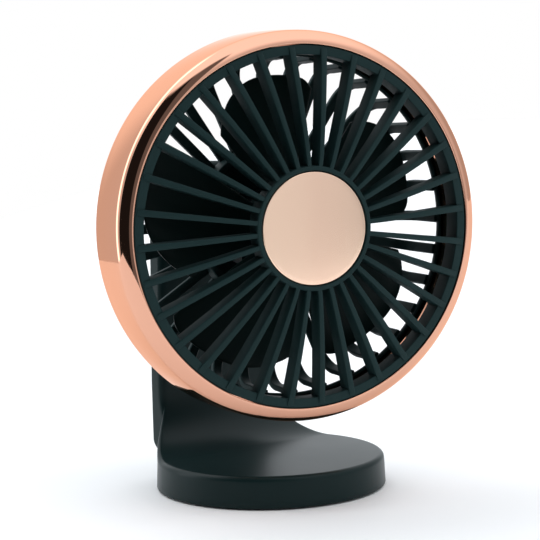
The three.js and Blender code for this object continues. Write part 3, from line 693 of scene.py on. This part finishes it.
def right_side(z, front_y, half, back_y, radius):
    """The outline from the right front corner to the middle of the back, at one height."""
    meet_y = math.sqrt(SHOULDER_RADIUS**2 - NECK_HALF**2)
    start_y = min(front_y, meet_y)
    points = []
    for j in range(SIDE_POINTS):
        y = start_y + (meet_y - start_y) * (j / SIDE_POINTS) ** 1.7
        around = math.sqrt(radius**2 - y * y) if front_y < meet_y else half
        y = max(y, front_y)
        points.append((around - edge_inset(depth_under_top(y, z)), y))
    corner = min(BACK_CORNER, half * 0.5)
    square = []
    first_y = max(meet_y, front_y)
    for j in range(BACK_POINTS):
        y = first_y + (back_y - corner - first_y) * (j / BACK_POINTS) ** 1.5
        square.append((half - edge_inset(depth_under_top(y, z)), y))
    for j in range(CORNER_POINTS):
        angle = math.pi / 2 * j / CORNER_POINTS
        x = half - corner + corner * math.cos(angle)
        square.append((x, back_y - corner + corner * math.sin(angle)))
    for j in range(BACK_POINTS + 1):
        square.append(((half - corner) * (1 - j / BACK_POINTS), back_y))
    flat = smoothstep(z, BLEND_LOW, BLEND_HIGH)
    for x, y in square:
        reach = math.hypot(x, y)
        arc_radius = radius - edge_inset(depth_under_top(y, z))
        stretch = (arc_radius + (reach - arc_radius) * flat) / reach
        points.append((x * stretch, y * stretch))
    return points


def stand_section(z, front, half=NECK_HALF, front_y=FILLET_START, back_y=NECK_BACK,
                  radius=SHOULDER_RADIUS):
    """One closed outline: the front from left to right, then round the right, the back and the left."""
    right = right_side(z, front_y, half, back_y, radius)
    left = [(-x, y) for x, y in reversed(right[:-1])]
    return [(x, y, z) for x, y in [*front(right[0]), *right[1:], *left[:-1]]]


def round_front(corner):
    """The front half of a circle through a corner on the right, from its mirror image."""
    x, y = corner
    radius = math.hypot(x, y)
    end = math.atan2(y, x)
    left = math.pi - end
    span = 2 * math.pi - (left - end)
    angles = [left + span * k / FRONT_POINTS for k in range(FRONT_POINTS + 1)]
    return [(radius * math.cos(angle), radius * math.sin(angle)) for angle in angles]


def straight_front(corner):
    """The front edge of the neck, from the left corner's place to the right corner."""
    x, y = corner
    return [(-x + 2 * x * k / FRONT_POINTS, y) for k in range(FRONT_POINTS + 1)]


def base_sections():
    """The round base, from its recess out over its foot and up the side wall to the top edge."""
    foot = 0.5
    outlines = [(RECESS_TOP, RECESS_RADIUS), (BASE_BOTTOM, RECESS_RADIUS), (BASE_BOTTOM, BASE_RADIUS - foot),
                (BASE_BOTTOM + 0.3 * foot, BASE_RADIUS - 0.3 * foot), (BASE_BOTTOM + foot, BASE_RADIUS)]
    wall_bottom = BASE_BOTTOM + foot
    wall_top = BASE_TOP - EDGE
    for k in range(1, 7):
        z = wall_bottom + (wall_top - wall_bottom) * k / 6
        outlines.append((z, wall_radius(z)))
    for k in range(1, 9):
        outlines.append((wall_top + EDGE * math.sin(math.pi / 2 * k / 8), SHOULDER_RADIUS))
    return [stand_section(z, round_front, radius=radius) for z, radius in outlines]


def stand_shell():
    """Base and neck in one skin, with the back cover's pocket and the socket's mouth cut out."""
    sections = base_sections()
    for k in range(33):
        angle = math.pi / 2 * k / 32
        z = BASE_TOP + FILLET * (1 - math.cos(angle))
        y = FILLET_START + FILLET * math.sin(angle)
        sections.append(stand_section(z, straight_front, front_y=y))
    for k in range(1, 21):
        z = BASE_TOP + FILLET + (NECK_SHOULDER - BASE_TOP - FILLET) * k / 20
        sections.append(stand_section(z, straight_front, neck_half(z), NECK_FRONT))
    crown, fullness = NECK_TOP - NECK_SHOULDER, 2 / 2.4
    for k in range(1, 24):
        angle = math.pi / 2 * k / 24
        z = NECK_SHOULDER + crown * math.sin(angle) ** fullness
        half = NECK_TOP_HALF * math.cos(angle) ** fullness
        inset = edge_inset(NECK_TOP - z)
        sections.append(stand_section(z, straight_front, half, NECK_FRONT + inset, NECK_BACK - inset))
    obj = new_object("stand_body", [lofted(sections)], STAND_SPACE)
    pocket = block((-COVER_HALF, COVER_FRONT - GAP, COVER_LOW - GAP),
                   (COVER_HALF, NECK_BACK + 5, COVER_HIGH + GAP))
    boolean(obj, new_object("cover_pocket", [pocket], STAND_SPACE), "DIFFERENCE")
    mouth_front, past_wall = 34.5, 50
    mouth = block((-MOUTH_HALF, mouth_front, MOUTH_LOW), (MOUTH_HALF, past_wall, MOUTH_HIGH))
    boolean(obj, new_object("usb_mouth", [mouth], STAND_SPACE), "DIFFERENCE")
    show(obj, "stand", "green_plastic", GREEN, "stand_shell")


stand_shell()


# ---- head --------------------------------------------------------------------------------------------

def dome(radius):
    """How far the grille's face stands out in front of its rim."""
    across = min(1, max(0, (radius - BADGE_RADIUS) / (GRILLE_RADIUS - BADGE_RADIUS)))
    return DOME * (1 - across**1.5)


# The bezel's face from its inner edge outwards: each run's length, and the slope that it ends with.
BEZEL_RUNS = ((0.35, 0), (0.5, 14), (1.35, 28), (3.3, 54), (2.2, 84), (16.6, 89))
RUN_STEPS = 8


def bezel_face():
    """Follows the runs of the bezel's face, whose slope changes evenly along each run."""
    radius, depth, slope = GRILLE_RADIUS + GAP, 0.17, -60
    face = [(radius, depth)]
    for run, end_slope in BEZEL_RUNS:
        for k in range(RUN_STEPS):
            angle = math.radians(slope + (end_slope - slope) * (k + 0.5) / RUN_STEPS)
            radius += math.cos(angle) * run / RUN_STEPS
            depth += math.sin(angle) * run / RUN_STEPS
            face.append((radius, depth))
        slope = end_slope
    return face


def bezel_ring():
    """The plated ring: a rounded face, a long barrel and a lip that holds both grilles."""
    inner = GRILLE_RADIUS + GAP
    face = bezel_face()
    back = rounded([
        (*face[-1], 0), (72.7, BEZEL_BACK - 0.8, 1.2), (71.8, BEZEL_BACK, 0.4), (70.2, BEZEL_BACK, 0.4),
        (71.2, BEZEL_BACK - 2.2, 1.5), (CHANNEL_RADIUS, CHANNEL_FLOOR, 0.5), (LIP_RADIUS, CHANNEL_FLOOR, 0.3),
        (LIP_RADIUS, LIP_BACK, 0.3), (LIP_HOLE, LIP_BACK, 0.3), (LIP_HOLE, LIP_FRONT, 0.1),
        (inner, LIP_FRONT, 0)], 7)
    obj = new_object("bezel", [turned(face + back[1:], 256)], FAN_SPACE)
    show(obj, "head", "rose_gold_plate", ROSE, "bezel_ring")


def chamfered_bar(width, front, back, edge):
    """The section of a grille spoke: `front` and `back` are outward offsets."""
    half = width / 2
    right = [(half - edge, front), (half - edge * 0.4, front - edge * 0.3),
             (half, front - edge), (half, back)]
    left = [(-x, outward) for x, outward in reversed(right)]
    return left + right


def front_grille():
    """Rim and hub are turned, and the spokes are swept along the grille's dome."""
    rim = turned(closed_rounded([
        (GRILLE_HOLE, -0.1, 0.2), (GRILLE_RADIUS - 0.3, 0.2, 0.2), (GRILLE_RADIUS, 0.5, 0.2),
        (GRILLE_RADIUS, GRILLE_BACK, 0.2), (GRILLE_HOLE + 0.3, GRILLE_BACK, 0.2)], 4), 256)
    seat, under, skirt = BADGE_BACK + GAP, -3.0, 0.3
    wall = BADGE_RADIUS + GAP
    hub = turned(rounded([
        (0, seat, 0), (wall, seat, 0.1), (wall, -DOME, 0.25), (HUB_RADIUS - 0.3, -DOME, 0.3),
        (HUB_RADIUS, -DOME + 0.5, 0.4), (HUB_RADIUS, skirt, 0.3), (HUB_RADIUS - 1.4, skirt, 0.3),
        (HUB_RADIUS - 2.2, under, 0.3), (0, under, 0)], 4), 192, loop=False)
    start, end = HUB_RADIUS - 0.7, GRILLE_RADIUS - 0.75
    path = [(start + (end - start) * k / SPOKE_STEPS, 0) for k in range(SPOKE_STEPS + 1)]

    def section(k):
        face = dome(path[k][0]) + (0.15 if k else -0.2)
        if k == SPOKE_STEPS:
            face -= 0.3
        width = SPOKE_ROOT_WIDTH + (SPOKE_WIDTH - SPOKE_ROOT_WIDTH) * k / SPOKE_STEPS
        return chamfered_bar(width, face, face - SPOKE_DEPTH, 0.18)

    spokes = [clock_sweep(FIRST_SPOKE + i * 360 / RIB_COUNT, path, section) for i in range(RIB_COUNT)]
    obj = new_object("grille_front", [rim, hub], FAN_SPACE)
    boolean(obj, new_object("spokes", spokes, FAN_SPACE), "UNION")
    show(obj, "head", "green_plastic", GRILLE_GREEN, "front_grille")


def centre_badge():
    """A blank disc, slightly hollow in front."""
    face = [(0.1 * BADGE_RADIUS * k, -DOME + BADGE_CROWN * (0.1 * k) ** 2) for k in range(9)]
    edge = rounded([
        (0.9 * BADGE_RADIUS, -DOME + 0.81 * BADGE_CROWN, 0), (BADGE_RADIUS - 0.3, -DOME + BADGE_CROWN, 0.5),
        (BADGE_RADIUS, -DOME + 0.7, 0.2), (BADGE_RADIUS, BADGE_BACK, 0.1), (0, BADGE_BACK, 0)], 6)
    obj = new_object("badge", [turned(face + edge, 192, loop=False)], FAN_SPACE)
    show(obj, "head", "rose_gold_satin", ROSE_SATIN, "centre_badge")


def rear_grille():
    """A flanged band and a dished pod, joined by ribs that turn one corner."""
    inner, spigot_front = GRILLE_HOLE + 0.1, 14.0
    band = turned(closed_rounded([
        (inner, spigot_front, 0.2), (SPIGOT_RADIUS, spigot_front, 0.3), (SPIGOT_RADIUS, FLANGE_FRONT, 0.2),
        (FLANGE_RADIUS, FLANGE_FRONT, 0.2), (FLANGE_RADIUS, FLANGE_BACK, 0.4),
        (SPIGOT_RADIUS - 0.1, FLANGE_BACK, 0.3), (inner, FLANGE_BACK - 2.6, 0.5)], 4), 256)
    pod = turned(rounded([
        (0, POD_FLOOR, 0), (POD_HOLE, POD_FLOOR, 0.5), (POD_HOLE, POD_FRONT, 0.4),
        (POD_RADIUS, POD_FRONT, 0.6), (POD_RADIUS, POD_BACK, 1.6), (0, POD_BACK, 0)], 5), 192, loop=False)
    rib_start, rib_end = 63.0, 29.0
    corner = rounded([(62.95, FLANGE_FRONT, 0), (62.6, 38.4, 9.0), (rib_end, 38.6, 0)], 12)
    path = [corner[0], (62.8, 22.0), (62.7, 27.0), *corner[1:-1], (45.0, 38.5), corner[-1]]

    def section(k):
        outward = (path[k][0] - rib_end) / (rib_start - rib_end)
        half = (RIB_ROOT_WIDTH + (RIB_WIDTH - RIB_ROOT_WIDTH) * outward) / 2
        deep, edge = RIB_THICK / 2, 0.35
        return [(-half, -deep + edge), (-half, deep - edge), (-half + edge, deep), (half - edge, deep),
                (half, deep - edge), (half, -deep + edge), (half - edge, -deep), (-half + edge, -deep)]

    ribs = [clock_sweep(FIRST_RIB + i * 360 / RIB_COUNT, path, section) for i in range(RIB_COUNT)]
    obj = new_object("grille_rear", [band, pod], FAN_SPACE)
    boolean(obj, new_object("ribs", ribs, FAN_SPACE), "UNION")
    show(obj, "head", "green_plastic", GRILLE_GREEN, "rear_grille")


bezel_ring()
front_grille()
centre_badge()
rear_grille()


# ---- impeller ----------------------------------------------------------------------------------------

def blade_tip(v):
    """The tip line of a blade, where v runs from the leading edge at 0 to the trailing edge at 1."""
    lead = max(0, 1 - v / LEAD_SPAN)
    trail = max(0, (v - 1 + TRAIL_SPAN) / TRAIL_SPAN)
    return BLADE_TIP - LEAD_DROP * lead**2 - TRAIL_DROP * trail**2


def blade(angle):
    """One twisted blade, whose rows run outwards and whose columns run from edge to edge."""
    rows, columns, thick = 24, 30, 1.5
    root = IMPELLER_HUB - 0.9
    front, back = [], []
    for i in range(rows + 1):
        for j in range(columns + 1):
            u = math.sin(math.pi / 2 * i / rows)
            v = 0.5 - 0.5 * math.cos(math.pi * j / columns)
            radius = root + (blade_tip(v) - root) * u
            outward = (radius - root) / (BLADE_TIP - root)
            pitch = math.radians(ROOT_PITCH + (TIP_PITCH - ROOT_PITCH) * outward)
            chord = radius * math.radians(BLADE_SWEEP)
            depth = BLADE_MIDDLE + TIP_RAKE * outward + (0.5 - v) * chord * math.tan(pitch)
            depth += BLADE_CAMBER * (math.sin(math.pi * v) - 0.5)
            edge = min(1, 4.5 * v, 4.5 * (1 - v), 5 * (1 - u))
            half = thick / 2 * (0.25 + 0.75 * math.sqrt(max(0, 1 - (1 - edge) ** 2)))
            place = angle - BLADE_SWEEP * (1 - v)
            front.append(clock(radius, place, depth - half))
            back.append(clock(radius, place, depth + half))
    across = columns + 1
    size = len(front)
    faces = []
    for i in range(rows):
        for j in range(columns):
            a = i * across + j
            faces.append((a, a + 1, a + across + 1, a + across))
            faces.append((size + a, size + a + across, size + a + across + 1, size + a + 1))
    rim = list(range(columns))
    rim += [i * across + columns for i in range(rows)]
    rim += [rows * across + j for j in range(columns, 0, -1)]
    rim += [i * across for i in range(rows, 0, -1)]
    for k, a in enumerate(rim):
        b = rim[(k + 1) % len(rim)]
        faces.append((b, a, size + a, size + b))
    return front + back, faces


def impeller():
    """A cup-shaped hub with a boss for the shaft, and its blades."""
    bore, boss, wall = 1.6, 3.4, IMPELLER_HUB - 1.6
    front, floor, boss_back, back = 9.0, 11.6, 20.0, 23.0
    hub = turned(closed_rounded([
        (bore, front, 0.1), (IMPELLER_HUB - 2.0, front, 1.2), (IMPELLER_HUB, front + 1.6, 1.2),
        (IMPELLER_HUB, back, 0.5), (wall, back, 0.3), (wall, floor, 0.5), (boss, floor, 0.3),
        (boss, boss_back, 0.2), (bore, boss_back, 0.1)], 5), 128)
    obj = new_object("impeller_body", [hub], FAN_SPACE)
    blades = [blade(FIRST_BLADE + i * 360 / BLADE_COUNT) for i in range(BLADE_COUNT)]
    boolean(obj, new_object("blades", blades, FAN_SPACE), "UNION")
    show(obj, "rotor", "dark_green_plastic", DARK_GREEN, "impeller")


impeller()


# ---- neck cover, button and joint ----------------------------------------------------------------------

def neck_back_cover():
    """The flat panel on the neck's back, with a shallow dish round the button."""
    width = COVER_HALF - GAP
    panel = prism("y", rectangle(-width, width, COVER_LOW, COVER_HIGH, 0.8, 0.8, 3.0, 3.0),
                  COVER_FRONT, NECK_BACK, 0.25)
    obj = new_object("cover", [panel], STAND_SPACE)
    before, behind = COVER_FRONT - 1, NECK_BACK + 1
    holes = [rod("y", 4.9, before, behind, (0, 0, BUTTON_HEIGHT)),
             rod("y", 1.6, before, behind, (0, 0, LIGHT_HEIGHT))]
    seat = turned([
        (0, before), (SCREW_HOLE, before), (SCREW_HOLE, NECK_BACK - 1.1), (SCREW_SEAT, NECK_BACK - 1.1),
        (SCREW_SEAT, NECK_BACK - 0.2), (SCREW_SEAT + 0.3, NECK_BACK + 0.1), (SCREW_SEAT + 0.3, behind),
        (0, behind)], 40, loop=False)
    holes += [moved_up(seat, z) for z in COVER_SCREW_HEIGHTS]
    boolean(obj, new_object("cover_holes", holes, STAND_SPACE), "DIFFERENCE")
    floor = NECK_BACK - 0.4
    dish = turned([
        (0, floor), (6.2, floor), (7.2, NECK_BACK + 0.05), (7.2, behind), (0, behind)], 64, loop=False)
    boolean(obj, new_object("dish", [moved_up(dish, BUTTON_HEIGHT)], STAND_SPACE), "DIFFERENCE")
    obj.data.set_sharp_from_angle(angle=COVER_SMOOTH_ANGLE)
    show(obj, "stand", "green_plastic", GREEN, "neck_back_cover")


def power_button():
    """A cap with a flange inside the cover and a shallow hollow for a fingertip."""
    flange, flange_back, cap, tip = 41.05, 41.6, 4.6, 44.8
    profile = rounded([
        (0, flange, 0), (5.5, flange, 0.1), (5.5, flange_back, 0.1), (cap, flange_back, 0.1), (cap, tip, 0.7),
        (3.4, tip, 0.4), (2.9, tip - 0.3, 0.5), (0, tip - 0.45, 0)], 5)
    cap_part = moved_up(turned(profile, 96, loop=False), BUTTON_HEIGHT)
    obj = new_object("button_cap", [cap_part], STAND_SPACE)
    show(obj, "button", "rose_gold_plate", ROSE, "power_button")


def neck_bracket():
    """A plate on the neck's front wall, with a lug above and a lug below the pivot."""
    back = NECK_FRONT - GAP
    front = back - 3
    height = PIVOT.z / MM
    pivot_y = PIVOT.y / MM
    outline = rectangle(-PLATE_HALF, PLATE_HALF, height - PLATE_RISE, height + PLATE_RISE, 2, 2, 2, 2)
    obj = new_object("bracket", [prism("y", outline, front, back, 0.4)], STAND_SPACE)
    nose = LUG_HALF - 0.05
    tongue = rectangle(-LUG_HALF, LUG_HALF, pivot_y - LUG_HALF, front + 1, nose, nose, 0.1, 0.1)
    lugs = []
    for side in (1, -1):
        low, high = sorted((height + side * LUG_INNER, height + side * LUG_OUTER))
        lugs.append(prism("z", tongue, low, high, 0.4))
    boolean(obj, new_object("lugs", lugs, STAND_SPACE), "UNION")
    holes = [rod("z", PIN_RADIUS + GAP, height - 25, height + 25, (0, pivot_y, 0))]
    for x in (-BRACKET_SCREW_X, BRACKET_SCREW_X):
        for z in BRACKET_SCREW_HEIGHTS:
            holes.append(rod("y", SCREW_HOLE, front - 1, back + 1, (x, 0, height + z)))
    boolean(obj, new_object("bracket_holes", holes, STAND_SPACE), "DIFFERENCE")
    show(obj, "stand", "green_plastic", GREEN, "neck_bracket")


def knuckle_block():
    """The cross piece between the two lugs, drilled for the pins and for the tilt bolt."""
    section = rectangle(-BLOCK_HALF, BLOCK_HALF, -BLOCK_HALF, BLOCK_HALF, 1.6, 1.6, 1.6, 1.6)
    obj = new_object("knuckle", [prism("z", section, -BLOCK_HEIGHT, BLOCK_HEIGHT, 0.6)], HEAD_SPACE)
    bore, past = PIN_RADIUS + GAP, 20
    holes = [rod("z", bore, PIN_END, past), rod("z", bore, -past, -PIN_END)]
    boolean(obj, new_object("pin_holes", holes, HEAD_SPACE), "DIFFERENCE")
    boolean(obj, new_object("bolt_hole", [rod("x", bore, -past, past)], HEAD_SPACE), "DIFFERENCE")
    show(obj, "knuckle", "dark_green_plastic", DARK_GREEN, "knuckle_block")


def tail_fork():
    """A round flange on the pod, an arm, and two cheeks on either side of the knuckle."""
    web = -17.5
    flange_front = POD_BACK + GAP - HEAD_REACH
    flange_back = flange_front + 2.9
    flange = rod("y", FORK_RADIUS, flange_front, flange_back, segments=160, edge=0.7)
    obj = new_object("fork", [flange], HEAD_SPACE)
    arm = rectangle(-CHEEK_OUTER, CHEEK_OUTER, -CHEEK_HALF, CHEEK_HALF, 1, 1, 1, 1)
    boolean(obj, new_object("arm", [prism("y", arm, flange_back - 0.5, web, 0.3)], HEAD_SPACE), "UNION")
    nose = CHEEK_HALF - 0.05
    cheek = rectangle(web - 1, CHEEK_HALF, -CHEEK_HALF, CHEEK_HALF, 0.1, nose, nose, 0.1)
    cheeks = [prism("x", cheek, CHEEK_INNER, CHEEK_OUTER, 0.4),
              prism("x", cheek, -CHEEK_OUTER, -CHEEK_INNER, 0.4)]
    boolean(obj, new_object("cheeks", cheeks, HEAD_SPACE), "UNION")
    holes = [rod("x", PIN_RADIUS + GAP, -20, 20)]
    for angle in (45, 135, 225, 315):
        place = tuple(clock(FORK_SCREW_RADIUS, angle, 0))
        holes.append(rod("y", SCREW_HOLE, flange_front - 1, flange_back + 1, place))
    boolean(obj, new_object("fork_holes", holes, HEAD_SPACE), "DIFFERENCE")
    show(obj, "head", "green_plastic", GREEN, "tail_fork")


neck_back_cover()
power_button()
neck_bracket()
knuckle_block()
tail_fork()


# ---- CAD nodes that stay ------------------------------------------------------------------------------

slot_of = {row["node"]: row["material_slot"] for row in frame["record"]["subparts"]}
for name, node in frame["nodes"].items():
    if node.hide_render:
        continue
    node.data.materials.clear()
    node.data.materials.append(SLOT_MATERIALS[slot_of[name]])
    node.data.shade_smooth()
    node.data.set_sharp_from_angle(angle=SMOOTH_ANGLE)
